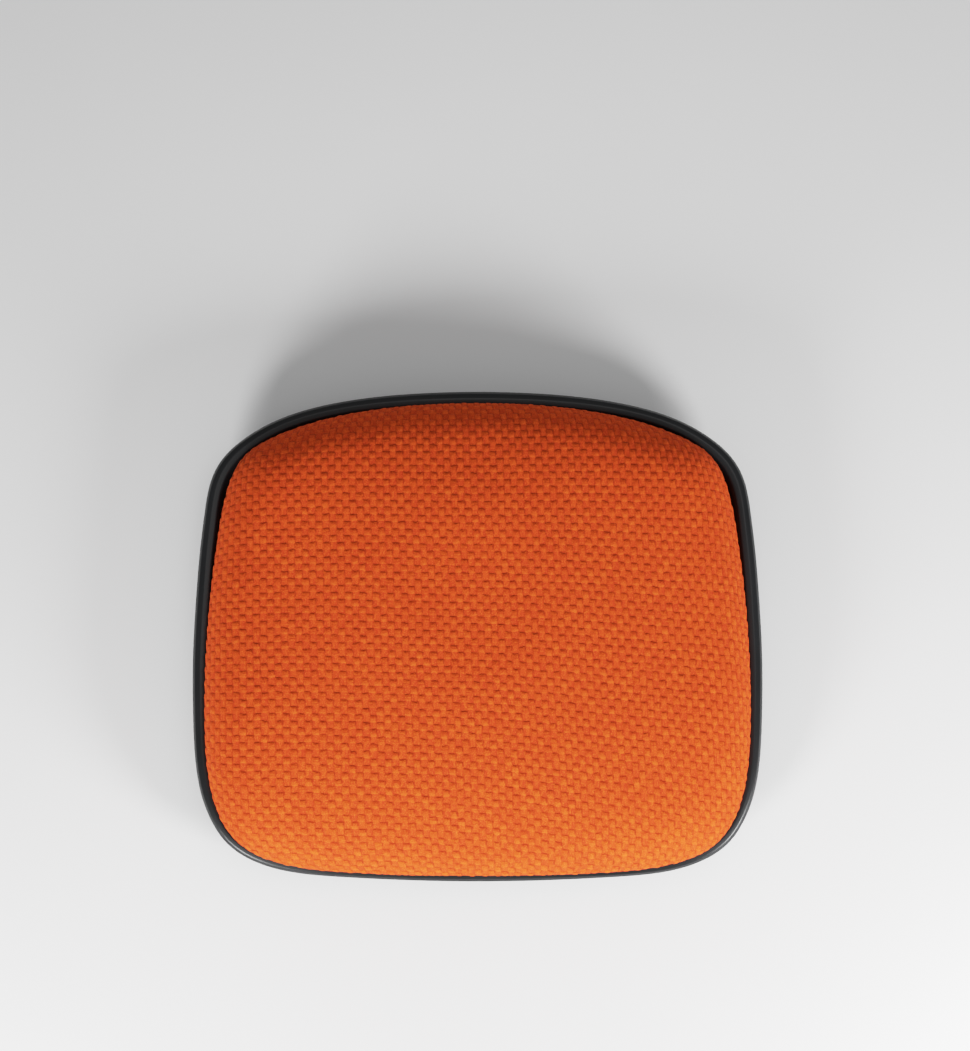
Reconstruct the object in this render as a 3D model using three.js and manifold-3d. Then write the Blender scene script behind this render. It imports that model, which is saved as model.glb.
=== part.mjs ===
// Upholstered seat cushion of an office chair: a moulded outer shell with a rolled lip, and in it
// a plywood board that carries a foam pad under a stapled fabric cover.
// Millimetres. +Z is up, the front edge of the seat faces -Y, and the mounting pads stand on z = 0.

import * as THREE from 'three';
import { mergeVertices } from 'three/addons/utils/BufferGeometryUtils.js';
import Module from 'manifold-3d';

const wasm = await Module();
wasm.setup();

// ---- Driving dimensions ----

const GAP = 0.3;
const MERGE_DISTANCE = 0.001;

// Plan outlines: the right-hand half, from the rear centre round to the front centre.
const RIM_OUTLINE = [
  [0, 219], [90, 214.5], [160, 201], [208, 178], [237, 146], [247, 92], [252.5, 20],
  [254, -45], [250, -121], [237, -165], [214, -193], [170, -210], [95, -216.5], [0, -219],
];
const CUSHION_OUTLINE = [
  [0, 207.5], [80, 203], [145, 190.5], [195, 170.5], [216, 150], [226, 121], [232, 87], [239.5, 20],
  [242.5, -57], [239.5, -121], [228, -164], [205, -191.5], [160, -207], [88, -213.5], [0, -215],
];
const OUTLINE_SAMPLES = 720;
const RING_SEGMENTS = 56;

// Outer shell.
const LIP_TOP = 49;
const FLOOR_TOP = 13.5;
const FLOOR_BOTTOM = 10;
const SKIN = FLOOR_TOP - FLOOR_BOTTOM;
const AXIS = Infinity;

// The lip dips towards the front so that the seat edge falls away under the thighs.
const FRONT_DROP = 12;
const FRONT_DROP_START = -55;
const FRONT_EDGE = -219;
const TOP_DROP_GAIN = 0.6;

// Board.
const BOARD_BOTTOM = 22;
const BOARD_THICKNESS = 12;
const BOARD_TOP = BOARD_BOTTOM + BOARD_THICKNESS;
const BOARD_RIM_INSET = 36;
const BOARD_CUSHION_INSET = 14;

// Cushion.
const CROWN = 90;
const DISH_DEPTH = 5;
const DISH_HALF_WIDTH = 135;
const DISH_HALF_DEPTH = 120;
const DISH_CENTRE_Y = 20;
const FABRIC = 1.5;
const FOAM_GAP = 1.3;
const FOAM_FOOT = { cushion: 1.5, rim: 5 };

// Mounting pads and the holes in them.
const MECHANISM_PAD = { x: 0, y: 0, width: 196, depth: 236, radius: 14 };
const MECHANISM_PITCH_X = 160;
const MECHANISM_PITCH_Y = 200;
const MECHANISM_HOLE_RADIUS = 4.5;
const ARM_PAD_X = 163;
const ARM_PAD_Y = -5;
const ARM_PAD = { width: 56, depth: 156, radius: 10 };
const ARM_PITCH = 60;
const ARM_HOLE_RADIUS = 3.5;
const BOSS_WALL = 4;

// Stiffening ribs between the pads (across) and in front of and behind the middle pad (along).
const RIB_THICKNESS = 2.5;
const CROSS_RIB_PLACES = [-70, -30, 10, 50];
const CROSS_RIB_BOTTOM = 3;
const LONG_RIB_PLACES = [-72, -36, 0, 36, 72];
const LONG_RIB_BOTTOM = 5;
const LONG_RIB_LENGTH = 42;
const LONG_RIB_CENTRE = 138;

// How far a body reaches into the one it is joined to or cut from.
const OVERLAP = 1;

// Fasteners.
const HOLE_SIDES = 10;
const SOCKET_SIDES = 6;
const M8_NUT = { bore: 3.4, barrel: 5, flange: 11, length: 9.3, plate: 1.4 };
const M6_NUT = { bore: 2.5, barrel: 4, flange: 9.5, length: 9.3, plate: 1.4 };
const NUT_RECESS = 2;
const SCREW = {
  shank: 2, head: 4.2, headHeight: 2.4, headChamfer: 1.2, socket: 1.6, socketDepth: 1.4, length: 16.5, tip: 2,
};
const SCREW_SHOULDER = 13;
const SCREW_COUNTERBORE = SCREW.head + 1;
const SCREW_BOSS_RADIUS = 7;
const SCREW_PLACES = [[62, -147], [156, -118], [154, 107], [62, 138]];
const STAPLE = { crown: 11, wire: 0.8, leg: 7.5, width: 1.2, count: 30 };
const STAPLE_RIM_INSET = 47;
const STAPLE_CUSHION_INSET = 25;
const HEM_BOTTOM = BOARD_BOTTOM - GAP - FABRIC;
const STAPLE_BOTTOM = HEM_BOTTOM - GAP - STAPLE.wire;

// ---- Outlines ----

function closedOutline(half) {
  const right = half.map(([x, y]) => new THREE.Vector3(x, y, 0));
  const left = half.slice(1, -1).reverse().map(([x, y]) => new THREE.Vector3(-x, y, 0));
  return new THREE.CatmullRomCurve3([...right, ...left], true, 'centripetal').getPoints(OUTLINE_SAMPLES);
}

// Distance from the centre to the outline, as a function of the direction.
function polarRadius(half) {
  const samples = closedOutline(half)
    .map((p) => ({ angle: Math.atan2(p.y, p.x), radius: Math.hypot(p.x, p.y) }))
    .sort((a, b) => a.angle - b.angle);
  const first = samples[0];
  const last = samples[samples.length - 1];
  samples.unshift({ angle: last.angle - 2 * Math.PI, radius: last.radius });
  samples.push({ angle: first.angle + 2 * Math.PI, radius: first.radius });
  return (direction) => {
    const angle = Math.atan2(Math.sin(direction), Math.cos(direction));
    const next = samples.findIndex((sample) => sample.angle >= angle);
    const a = samples[Math.max(0, next - 1)];
    const b = samples[next];
    const share = b.angle > a.angle ? (angle - a.angle) / (b.angle - a.angle) : 0;
    return THREE.MathUtils.lerp(a.radius, b.radius, share);
  };
}

const rimRadius = polarRadius(RIM_OUTLINE);
const cushionRadius = polarRadius(CUSHION_OUTLINE);

// A ring that keeps its distance from the cushion's edge and from the shell's rim, whichever is nearer.
function ringRadius(angle, cushionInset, rimInset) {
  const radius = Math.min(cushionRadius(angle) - cushionInset, rimRadius(angle) - rimInset);
  return Math.max(0, radius);
}

// ---- Heights ----

function frontDrop(y) {
  const share = THREE.MathUtils.clamp((FRONT_DROP_START - y) / (FRONT_DROP_START - FRONT_EDGE), 0, 1);
  return FRONT_DROP * share * share;
}

function shellHeight(x, y, z) {
  const share = THREE.MathUtils.clamp((z - FLOOR_TOP) / (LIP_TOP - FLOOR_TOP), 0, 1);
  return z - frontDrop(y) * share;
}

function dish(x, y) {
  const across = x / DISH_HALF_WIDTH;
  const along = (y - DISH_CENTRE_Y) / DISH_HALF_DEPTH;
  return DISH_DEPTH * Math.exp(-(across * across) - along * along);
}

function cushionHeight(x, y, z) {
  const low = THREE.MathUtils.clamp((z - BOARD_TOP) / (LIP_TOP - BOARD_TOP), 0, 1);
  const high = THREE.MathUtils.clamp((z - LIP_TOP) / (CROWN - LIP_TOP), 0, 1);
  return z - frontDrop(y) * (low + TOP_DROP_GAIN * high) - dish(x, y) * high * high;
}

// ---- Solids ----

function solid(geometry) {
  const bare = new THREE.BufferGeometry();
  bare.setAttribute('position', geometry.getAttribute('position'));
  bare.setIndex(geometry.getIndex());
  const merged = mergeVertices(bare, MERGE_DISTANCE);
  const index = merged.getIndex().array;
  const triangles = [];
  for (let i = 0; i < index.length; i += 3) {
    const [a, b, c] = index.slice(i, i + 3);
    if (a !== b && b !== c && c !== a) {
      triangles.push(a, b, c);
    }
  }
  const vertProperties = merged.getAttribute('position').array;
  const triVerts = new Uint32Array(triangles);
  return new wasm.Manifold(new wasm.Mesh({ numProp: 3, vertProperties, triVerts }));
}

function geometryOf(body) {
  const mesh = body.getMesh();
  const geometry = new THREE.BufferGeometry();
  geometry.setAttribute('position', new THREE.BufferAttribute(mesh.vertProperties, 3));
  geometry.setIndex(new THREE.BufferAttribute(mesh.triVerts, 1));
  geometry.computeVertexNormals();
  return geometry;
}

// A lathe whose round rings are drawn out to the seat's outlines.
// Each row is { cushion, rim, z }: its insets from the two outlines and its height.
function ringSolid(rows, height) {
  const profile = rows.map((row) => new THREE.Vector2(1, row.z));
  const geometry = new THREE.LatheGeometry(profile, RING_SEGMENTS);
  const position = geometry.getAttribute('position');
  for (let i = 0; i < position.count; i += 1) {
    const row = rows[i % rows.length];
    const angle = (Math.floor(i / rows.length) / RING_SEGMENTS) * 2 * Math.PI;
    const radius = ringRadius(angle, row.cushion, row.rim);
    const x = radius * Math.cos(angle);
    const y = radius * Math.sin(angle);
    position.setXYZ(i, x, y, height(x, y, row.z));
  }
  return solid(geometry);
}

function turned(profile, sides, x, y) {
  const points = profile.map(([radius, z]) => new THREE.Vector2(radius, z));
  const geometry = new THREE.LatheGeometry(points, sides);
  geometry.rotateX(Math.PI / 2);
  geometry.translate(x, y, 0);
  return solid(geometry);
}

function cylinder(radius, low, high, x, y, sides = HOLE_SIDES) {
  return turned([[0, low], [radius, low], [radius, high], [0, high]], sides, x, y);
}

function block(width, depth, low, high, x, y, turn = 0) {
  const geometry = new THREE.BoxGeometry(width, depth, high - low);
  geometry.rotateZ(turn);
  geometry.translate(x, y, (low + high) / 2);
  return solid(geometry);
}

function roundedBlock(width, depth, radius, low, high, x, y) {
  const shape = new THREE.Shape();
  const right = width / 2 - radius;
  const back = depth / 2 - radius;
  shape.absarc(right, back, radius, 0, Math.PI / 2);
  shape.absarc(-right, back, radius, Math.PI / 2, Math.PI);
  shape.absarc(-right, -back, radius, Math.PI, 1.5 * Math.PI);
  shape.absarc(right, -back, radius, 1.5 * Math.PI, 2 * Math.PI);
  const options = { depth: high - low, bevelEnabled: false, curveSegments: 4 };
  const geometry = new THREE.ExtrudeGeometry(shape, options);
  geometry.translate(x, y, low);
  return solid(geometry);
}

function joined(bodies) {
  return bodies.reduce((whole, body) => whole.add(body));
}

// ---- Places of the fasteners ----

function bothSides(places) {
  return places.flatMap(([x, y]) => [[x, y], [-x, y]]);
}

function mechanismPlaces() {
  const x = MECHANISM_PITCH_X / 2;
  const y = MECHANISM_PITCH_Y / 2;
  return bothSides([[x, -y], [x, y]]);
}

function armPlaces() {
  return bothSides([-1, 0, 1].map((step) => [ARM_PAD_X, ARM_PAD_Y + step * ARM_PITCH]));
}

// Staples at equal steps along the hem, each lying along it.
function staplePlaces() {
  const ring = [];
  for (let i = 0; i < OUTLINE_SAMPLES; i += 1) {
    const angle = (i / OUTLINE_SAMPLES) * 2 * Math.PI;
    const radius = ringRadius(angle, STAPLE_CUSHION_INSET, STAPLE_RIM_INSET);
    ring.push(new THREE.Vector3(radius * Math.cos(angle), radius * Math.sin(angle), 0));
  }
  const path = new THREE.CatmullRomCurve3(ring, true);
  path.arcLengthDivisions = OUTLINE_SAMPLES;
  return Array.from({ length: STAPLE.count }, (_, i) => {
    const share = (i + 0.5) / STAPLE.count;
    const point = path.getPointAt(share);
    const along = path.getTangentAt(share);
    return { x: point.x, y: point.y, turn: Math.atan2(along.y, along.x) };
  });
}

// ---- Outer shell ----

function shellRow(inset, z) {
  return { cushion: -AXIS, rim: inset, z };
}

// The pan's skin: out along the underside, round the rolled lip and its turned-down edge, and back inside.
function shellPan() {
  const rows = [
    shellRow(AXIS, FLOOR_BOTTOM),
    shellRow(60, FLOOR_BOTTOM),
    shellRow(40, 12),
    shellRow(24, 20.5),
    shellRow(14.5, 35),
    shellRow(11.5, 44),
    shellRow(7.5, 46),
    shellRow(2.5, 43),
    shellRow(2.5, 37),
    shellRow(0, 37),
    shellRow(0, 43.5),
    shellRow(2.5, 47.7),
    shellRow(7, LIP_TOP),
    shellRow(12.5, 47.7),
    shellRow(17.5, 36),
    shellRow(27, 22.5),
    shellRow(42, 15.4),
    shellRow(60, FLOOR_TOP),
    shellRow(AXIS, FLOOR_TOP),
  ];
  return ringSolid(rows, shellHeight);
}

// A pad that steps down from the floor to z = 0, hollow on the inside.
function padWalls(pad, x, y) {
  return roundedBlock(pad.width, pad.depth, pad.radius, 0, FLOOR_TOP, x, y);
}

function padHollow(pad, x, y) {
  const width = pad.width - 2 * SKIN;
  const depth = pad.depth - 2 * SKIN;
  return roundedBlock(width, depth, pad.radius - SKIN, SKIN, LIP_TOP, x, y);
}

function padRibs() {
  const inner = MECHANISM_PAD.width / 2 - OVERLAP;
  const outer = ARM_PAD_X - ARM_PAD.width / 2 + OVERLAP;
  const top = FLOOR_TOP - OVERLAP;
  return [-1, 1].flatMap((side) => [
    ...CROSS_RIB_PLACES.map((y) =>
      block(outer - inner, RIB_THICKNESS, CROSS_RIB_BOTTOM, top, side * (inner + outer) / 2, y)),
    ...LONG_RIB_PLACES.map((x) =>
      block(RIB_THICKNESS, LONG_RIB_LENGTH, LONG_RIB_BOTTOM, top, x, side * LONG_RIB_CENTRE)),
  ]);
}

function seatShell() {
  const armPads = [-1, 1].map((side) => [side * ARM_PAD_X, ARM_PAD_Y]);
  const bossTop = BOARD_BOTTOM - GAP;
  const mechanismBosses = mechanismPlaces().map(([x, y]) =>
    cylinder(MECHANISM_HOLE_RADIUS + BOSS_WALL, SKIN - OVERLAP, bossTop, x, y));
  const armBosses = armPlaces().map(([x, y]) =>
    cylinder(ARM_HOLE_RADIUS + BOSS_WALL, SKIN - OVERLAP, bossTop, x, y));
  const screwBosses = bothSides(SCREW_PLACES).map(([x, y]) =>
    cylinder(SCREW_BOSS_RADIUS, FLOOR_TOP - OVERLAP, bossTop, x, y));

  let body = shellPan();
  body = body.add(padWalls(MECHANISM_PAD, MECHANISM_PAD.x, MECHANISM_PAD.y));
  body = body.subtract(padHollow(MECHANISM_PAD, MECHANISM_PAD.x, MECHANISM_PAD.y));
  for (const [x, y] of armPads) {
    body = body.add(padWalls(ARM_PAD, x, y));
    body = body.subtract(padHollow(ARM_PAD, x, y));
  }
  body = body.add(joined([...padRibs(), ...mechanismBosses, ...armBosses, ...screwBosses]));

  const top = bossTop + OVERLAP;
  const holes = [
    ...mechanismPlaces().map(([x, y]) => cylinder(MECHANISM_HOLE_RADIUS, -OVERLAP, top, x, y)),
    ...armPlaces().map(([x, y]) => cylinder(ARM_HOLE_RADIUS, -OVERLAP, top, x, y)),
    ...bothSides(SCREW_PLACES).flatMap(([x, y]) => [
      cylinder(SCREW.shank + GAP, FLOOR_BOTTOM - OVERLAP, top, x, y),
      cylinder(SCREW_COUNTERBORE, FLOOR_BOTTOM - OVERLAP, SCREW_SHOULDER, x, y),
    ]),
  ];
  return body.subtract(joined(holes));
}

// ---- Board ----

function boardBlank() {
  const outline = [];
  for (let i = 0; i < RING_SEGMENTS; i += 1) {
    const angle = (i / RING_SEGMENTS) * 2 * Math.PI;
    const radius = ringRadius(angle, BOARD_CUSHION_INSET, BOARD_RIM_INSET);
    outline.push(new THREE.Vector2(radius * Math.cos(angle), radius * Math.sin(angle)));
  }
  const options = { depth: BOARD_THICKNESS, bevelEnabled: false };
  const geometry = new THREE.ExtrudeGeometry(new THREE.Shape(outline), options);
  geometry.translate(0, 0, BOARD_BOTTOM);
  return solid(geometry);
}

function nutHole(nut, x, y) {
  const barrel = cylinder(nut.barrel + GAP, BOARD_BOTTOM - OVERLAP, BOARD_TOP - OVERLAP, x, y);
  return barrel.add(cylinder(nut.flange + GAP, BOARD_TOP - NUT_RECESS, BOARD_TOP + OVERLAP, x, y));
}

function stapleSlot(place, low, high) {
  const length = STAPLE.crown + 2 * GAP;
  return block(length, STAPLE.width + 2 * GAP, low, high, place.x, place.y, place.turn);
}

function seatBoard() {
  const screwTip = SCREW_SHOULDER - GAP + SCREW.length;
  const holes = [
    ...mechanismPlaces().map(([x, y]) => nutHole(M8_NUT, x, y)),
    ...armPlaces().map(([x, y]) => nutHole(M6_NUT, x, y)),
    ...bothSides(SCREW_PLACES).map(([x, y]) =>
      cylinder(SCREW.shank + GAP, BOARD_BOTTOM - OVERLAP, screwTip + OVERLAP, x, y)),
    ...staplePlaces().map((place) =>
      stapleSlot(place, BOARD_BOTTOM - OVERLAP, STAPLE_BOTTOM + STAPLE.leg + GAP)),
  ];
  return boardBlank().subtract(joined(holes));
}

// ---- Foam and cover ----

// The upholstered surface from the crown to the hem. The upper rows follow the cushion's own edge,
// the lower ones stay inside the shell's wall.
function upholsteryRows() {
  return [
    { cushion: AXIS, rim: AXIS, z: CROWN },
    { cushion: 150, rim: 0, z: CROWN },
    { cushion: 80, rim: 0, z: CROWN - 1 },
    { cushion: 44, rim: 0, z: CROWN - 4.2 },
    { cushion: 23, rim: 0, z: CROWN - 11 },
    { cushion: 9, rim: 1, z: CROWN - 21 },
    { cushion: 1, rim: 3, z: CROWN - 32 },
    { cushion: 1.5, rim: 7, z: CROWN - 38.5 },
    { cushion: 6, rim: 18.5, z: 46 },
    { cushion: 8, rim: 24, z: BOARD_TOP },
    { cushion: 11.5, rim: 33.5, z: BOARD_TOP - 7 },
    { cushion: 13, rim: 35, z: HEM_BOTTOM },
    { cushion: 38, rim: 60, z: HEM_BOTTOM },
  ];
}

// The same rows moved inwards by one distance, along the mean normal of the profile's two sides.
function insetRows(rows, distance) {
  return rows.map((row, i) => {
    if (row.rim === AXIS) {
      return { ...row, z: row.z - distance };
    }
    const before = rows[i - 1].rim === AXIS ? row : rows[i - 1];
    const after = rows[Math.min(i + 1, rows.length - 1)];
    const outward = before.cushion - after.cushion;
    const rise = after.z - before.z;
    const length = Math.hypot(outward, rise);
    const inwards = (-rise / length) * distance;
    const down = (outward / length) * distance;
    return { cushion: row.cushion + inwards, rim: row.rim + inwards, z: row.z - down };
  });
}

function fabricCover() {
  const outer = upholsteryRows();
  const inner = insetRows(outer, FABRIC).reverse();
  const profile = [...outer, ...inner].reverse();
  const cover = ringSolid(profile, cushionHeight);
  const slots = staplePlaces().map((place) => stapleSlot(place, HEM_BOTTOM - OVERLAP, BOARD_BOTTOM));
  return cover.subtract(joined(slots));
}

function foamPad() {
  const surface = insetRows(upholsteryRows(), FABRIC + FOAM_GAP);
  const aboveBoard = surface.filter((row) => row.z > BOARD_TOP + GAP);
  const edge = aboveBoard[aboveBoard.length - 1];
  const cushion = edge.cushion + FOAM_FOOT.cushion;
  const rim = edge.rim + FOAM_FOOT.rim;
  const z = BOARD_TOP + GAP;
  const rows = [...aboveBoard, { cushion, rim, z }, { cushion: AXIS, rim: AXIS, z }];
  return ringSolid(rows.reverse(), cushionHeight);
}

// ---- Fasteners ----

function teeNut(nut, x, y) {
  const top = BOARD_TOP - NUT_RECESS + GAP;
  const profile = [
    [nut.bore, top - nut.length],
    [nut.barrel, top - nut.length],
    [nut.barrel, top],
    [nut.flange, top],
    [nut.flange, top + nut.plate],
    [nut.bore, top + nut.plate],
    [nut.bore, top - nut.length],
  ];
  return turned(profile, HOLE_SIDES, x, y);
}

function shellScrew(x, y) {
  const shoulder = SCREW_SHOULDER - GAP;
  const bottom = shoulder - SCREW.headHeight;
  const tip = shoulder + SCREW.length;
  const profile = [
    [0, bottom],
    [SCREW.head - SCREW.headChamfer, bottom],
    [SCREW.head, bottom + SCREW.headChamfer],
    [SCREW.head, shoulder],
    [SCREW.shank, shoulder],
    [SCREW.shank, tip - SCREW.tip],
    [0, tip],
  ];
  const socketTop = bottom + SCREW.socketDepth;
  const socket = cylinder(SCREW.socket, bottom - OVERLAP, socketTop, x, y, SOCKET_SIDES);
  return turned(profile, HOLE_SIDES, x, y).subtract(socket);
}

function stapleGeometry() {
  const half = STAPLE.crown / 2;
  const inner = half - STAPLE.wire;
  const shape = new THREE.Shape();
  shape.moveTo(-half, 0);
  shape.lineTo(half, 0);
  shape.lineTo(half, STAPLE.leg);
  shape.lineTo(inner, STAPLE.leg);
  shape.lineTo(inner, STAPLE.wire);
  shape.lineTo(-inner, STAPLE.wire);
  shape.lineTo(-inner, STAPLE.leg);
  shape.lineTo(-half, STAPLE.leg);
  const geometry = new THREE.ExtrudeGeometry(shape, { depth: STAPLE.width, bevelEnabled: false });
  geometry.rotateX(Math.PI / 2);
  geometry.translate(0, STAPLE.width / 2, 0);
  return geometry;
}

// ---- Materials ----

function blackPolypropylene() {
  return new THREE.MeshStandardMaterial({ color: 0x23262a, roughness: 0.5, metalness: 0 });
}

function plywood() {
  return new THREE.MeshStandardMaterial({ color: 0xc79d6a, roughness: 0.75, metalness: 0 });
}

function foam() {
  return new THREE.MeshStandardMaterial({ color: 0xe9dfc4, roughness: 0.95, metalness: 0 });
}

function orangeFabric() {
  return new THREE.MeshStandardMaterial({ color: 0xd95f27, roughness: 0.95, metalness: 0 });
}

function zincSteel() {
  return new THREE.MeshStandardMaterial({ color: 0xb9bdc2, roughness: 0.35, metalness: 1 });
}

function blackSteel() {
  return new THREE.MeshStandardMaterial({ color: 0x2b2b2d, roughness: 0.45, metalness: 1 });
}

// ---- Assembly ----

const seat = new THREE.Group();

function addPart(name, geometry, material) {
  const mesh = new THREE.Mesh(geometry, material);
  mesh.name = name;
  seat.add(mesh);
  return mesh;
}

addPart('seat_shell', geometryOf(seatShell()), blackPolypropylene());
addPart('seat_board', geometryOf(seatBoard()), plywood());
addPart('foam_pad', geometryOf(foamPad()), foam());
addPart('fabric_cover', geometryOf(fabricCover()), orangeFabric());

mechanismPlaces().forEach(([x, y], i) => {
  addPart(`mechanism_tee_nut_${i + 1}`, geometryOf(teeNut(M8_NUT, x, y)), zincSteel());
});

armPlaces().forEach(([x, y], i) => {
  addPart(`arm_tee_nut_${i + 1}`, geometryOf(teeNut(M6_NUT, x, y)), zincSteel());
});

bothSides(SCREW_PLACES).forEach(([x, y], i) => {
  addPart(`shell_screw_${i + 1}`, geometryOf(shellScrew(x, y)), blackSteel());
});

staplePlaces().forEach((place, i) => {
  const mesh = addPart(`cover_staple_${String(i + 1).padStart(2, '0')}`, stapleGeometry(), zincSteel());
  mesh.position.set(place.x, place.y, STAPLE_BOTTOM);
  mesh.rotation.z = place.turn;
});

export default seat;
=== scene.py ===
import math

import bpy
import numpy as np
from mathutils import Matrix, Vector
from mathutils.bvhtree import BVHTree


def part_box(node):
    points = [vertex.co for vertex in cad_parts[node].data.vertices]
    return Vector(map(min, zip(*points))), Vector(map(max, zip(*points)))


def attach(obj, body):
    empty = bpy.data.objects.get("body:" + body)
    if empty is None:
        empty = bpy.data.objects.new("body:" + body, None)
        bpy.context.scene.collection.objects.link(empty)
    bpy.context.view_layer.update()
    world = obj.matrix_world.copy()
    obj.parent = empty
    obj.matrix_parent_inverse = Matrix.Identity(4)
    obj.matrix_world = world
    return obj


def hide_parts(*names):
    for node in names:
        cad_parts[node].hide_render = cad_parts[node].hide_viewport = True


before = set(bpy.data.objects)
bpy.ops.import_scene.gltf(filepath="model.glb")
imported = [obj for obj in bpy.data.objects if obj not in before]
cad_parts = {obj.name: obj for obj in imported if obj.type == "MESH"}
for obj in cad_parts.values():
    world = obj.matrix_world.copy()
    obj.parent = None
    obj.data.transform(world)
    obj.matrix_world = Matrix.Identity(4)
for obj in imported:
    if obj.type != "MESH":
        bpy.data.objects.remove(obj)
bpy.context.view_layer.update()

MM = 0.001
TINY = 1e-12

# ---- Plan outlines, in millimetres: the right-hand half, from the rear centre to the front centre ----

RIM_OUTLINE = [
    (0, 219), (90, 214.5), (160, 201), (208, 178), (237, 146), (247, 92), (252.5, 20),
    (254, -45), (250, -121), (237, -165), (214, -193), (170, -210), (95, -216.5), (0, -219),
]
CUSHION_OUTLINE = [
    (0, 207.5), (80, 203), (145, 190.5), (195, 170.5), (216, 150), (226, 121), (232, 87), (239.5, 20),
    (242.5, -57), (239.5, -121), (228, -164), (205, -191.5), (160, -207), (88, -213.5), (0, -215),
]
OUTLINE_SAMPLES = 24
DIRECTION_COUNT = 720
DIRECTIONS = np.arange(DIRECTION_COUNT) * 2 * math.pi / DIRECTION_COUNT
OUTLINE_SMOOTHING = 7
OUTLINE_ROUNDING = 2 * MM

# ---- Heights ----

LIP_TOP = 49 * MM
FLOOR_TOP = 13.5 * MM
BOARD_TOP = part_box("seat_board")[1].z
CROWN = 90 * MM
FRONT_DROP = 12 * MM
FRONT_DROP_START = -55 * MM
FRONT_EDGE = -219 * MM
TOP_DROP_GAIN = 0.6
DISH_DEPTH = 5 * MM
DISH_HALF_WIDTH = 135 * MM
DISH_HALF_DEPTH = 120 * MM
DISH_CENTRE_Y = 20 * MM

# ---- Weave: square groups of two strands, over and under in turn ----

CELL_X = 5.97 * MM
CELL_Y = 6.4 * MM
STEPS_PER_CELL = 4
RELIEF = 0.85 * MM
RELIEF_FADE = 6 * MM
FLOAT_SPREAD = 0.10
FLOAT_SEED = 11
CLOTH_HALF_WIDTH = 354 * MM
CLOTH_HALF_DEPTH = 325 * MM


# ---- Outlines and heights ----

def closed_spline(points, steps):
    """A closed curve through the points, with this many samples between neighbours."""
    before = np.roll(points, 1, axis=0)
    after = np.roll(points, -1, axis=0)
    beyond = np.roll(points, -2, axis=0)
    samples = []
    for t in np.arange(steps) / steps:
        samples.append(0.5 * (
            2 * points
            + (after - before) * t
            + (2 * before - 5 * points + 4 * after - beyond) * t**2
            + (3 * points - before - 3 * after + beyond) * t**3
        ))
    return np.stack(samples, axis=1).reshape(-1, points.shape[1])


def open_spline(points, steps):
    """A curve from the first point to the last, through all of them."""
    first = 2 * points[0] - points[1]
    last = 2 * points[-1] - points[-2]
    padded = np.vstack([first, points, last])
    samples = []
    for i in range(len(points) - 1):
        a, b, c, d = padded[i : i + 4]
        for t in np.arange(steps) / steps:
            samples.append(0.5 * (
                2 * b + (c - a) * t + (2 * a - 5 * b + 4 * c - d) * t**2 + (3 * b - a - 3 * c + d) * t**3
            ))
    samples.append(points[-1])
    return np.array(samples)


def smooth_round(values, width):
    """The values of a closed ring, each averaged with its neighbours on both sides."""
    kernel = np.hanning(2 * width + 3)[1:-1]
    padded = np.concatenate([values[-width:], values, values[:width]])
    return np.convolve(padded, kernel / kernel.sum(), "valid")


def polar_radius(half):
    """The distance from the centre to the outline, in each of DIRECTIONS."""
    right = np.array(half, float) * MM
    left = right[-2:0:-1] * (-1, 1)
    points = closed_spline(np.vstack([right, left]), OUTLINE_SAMPLES)
    angle = np.arctan2(points[:, 1], points[:, 0])
    radius = np.hypot(points[:, 0], points[:, 1])
    return smooth_round(np.interp(DIRECTIONS, angle, radius, period=2 * math.pi), OUTLINE_SMOOTHING)


RIM_RADIUS = polar_radius(RIM_OUTLINE)
CUSHION_RADIUS = polar_radius(CUSHION_OUTLINE)


def ring_radius(cushion_inset, rim_inset):
    """A ring that keeps its distance from both outlines, with the change from one to the other rounded."""
    a = CUSHION_RADIUS - cushion_inset
    b = RIM_RADIUS - rim_inset
    return np.maximum(0, (a + b - np.sqrt((a - b) ** 2 + OUTLINE_ROUNDING**2)) / 2)


def front_drop(y):
    """How far the front edge falls away, growing from nothing towards the front."""
    share = np.clip((FRONT_DROP_START - y) / (FRONT_DROP_START - FRONT_EDGE), 0, 1)
    return FRONT_DROP * share**2


def shell_height(y, z):
    """A height on the shell, lowered towards the front: nothing at its floor, all of it at the lip."""
    share = np.clip((z - FLOOR_TOP) / (LIP_TOP - FLOOR_TOP), 0, 1)
    return z - front_drop(y) * share


def cushion_height(x, y, z):
    """A height on the cushion, lowered towards the front and dished where one sits."""
    low = np.clip((z - BOARD_TOP) / (LIP_TOP - BOARD_TOP), 0, 1)
    high = np.clip((z - LIP_TOP) / (CROWN - LIP_TOP), 0, 1)
    dish = DISH_DEPTH * np.exp(-((x / DISH_HALF_WIDTH) ** 2) - ((y - DISH_CENTRE_Y) / DISH_HALF_DEPTH) ** 2)
    return z - front_drop(y) * (low + TOP_DROP_GAIN * high) - dish * high**2


# ---- Mesh helpers ----

def new_piece(name, vertices, faces):
    """An object from vertices in metres and faces, shaded smooth, in the scene."""
    mesh = bpy.data.meshes.new(name)
    mesh.from_pydata([tuple(v) for v in np.asarray(vertices).tolist()], [], faces)
    mesh.validate()
    mesh.shade_smooth()
    piece = bpy.data.objects.new(name, mesh)
    bpy.context.scene.collection.objects.link(piece)
    return piece


def coordinates(mesh):
    """The mesh's vertices as an array, one row each."""
    flat = np.empty(len(mesh.vertices) * 3)
    mesh.vertices.foreach_get("co", flat)
    return flat.reshape(-1, 3)


def set_coordinates(mesh, points):
    mesh.vertices.foreach_set("co", points.ravel())
    mesh.update()


def ring_faces(rings, count):
    """Quads between neighbouring rings of count vertices each, facing outward where the rings rise."""
    faces = []
    for j in range(rings - 1):
        for k in range(count):
            after = (k + 1) % count
            faces.append((j * count + k, j * count + after, (j + 1) * count + after, (j + 1) * count + k))
    return faces


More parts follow.
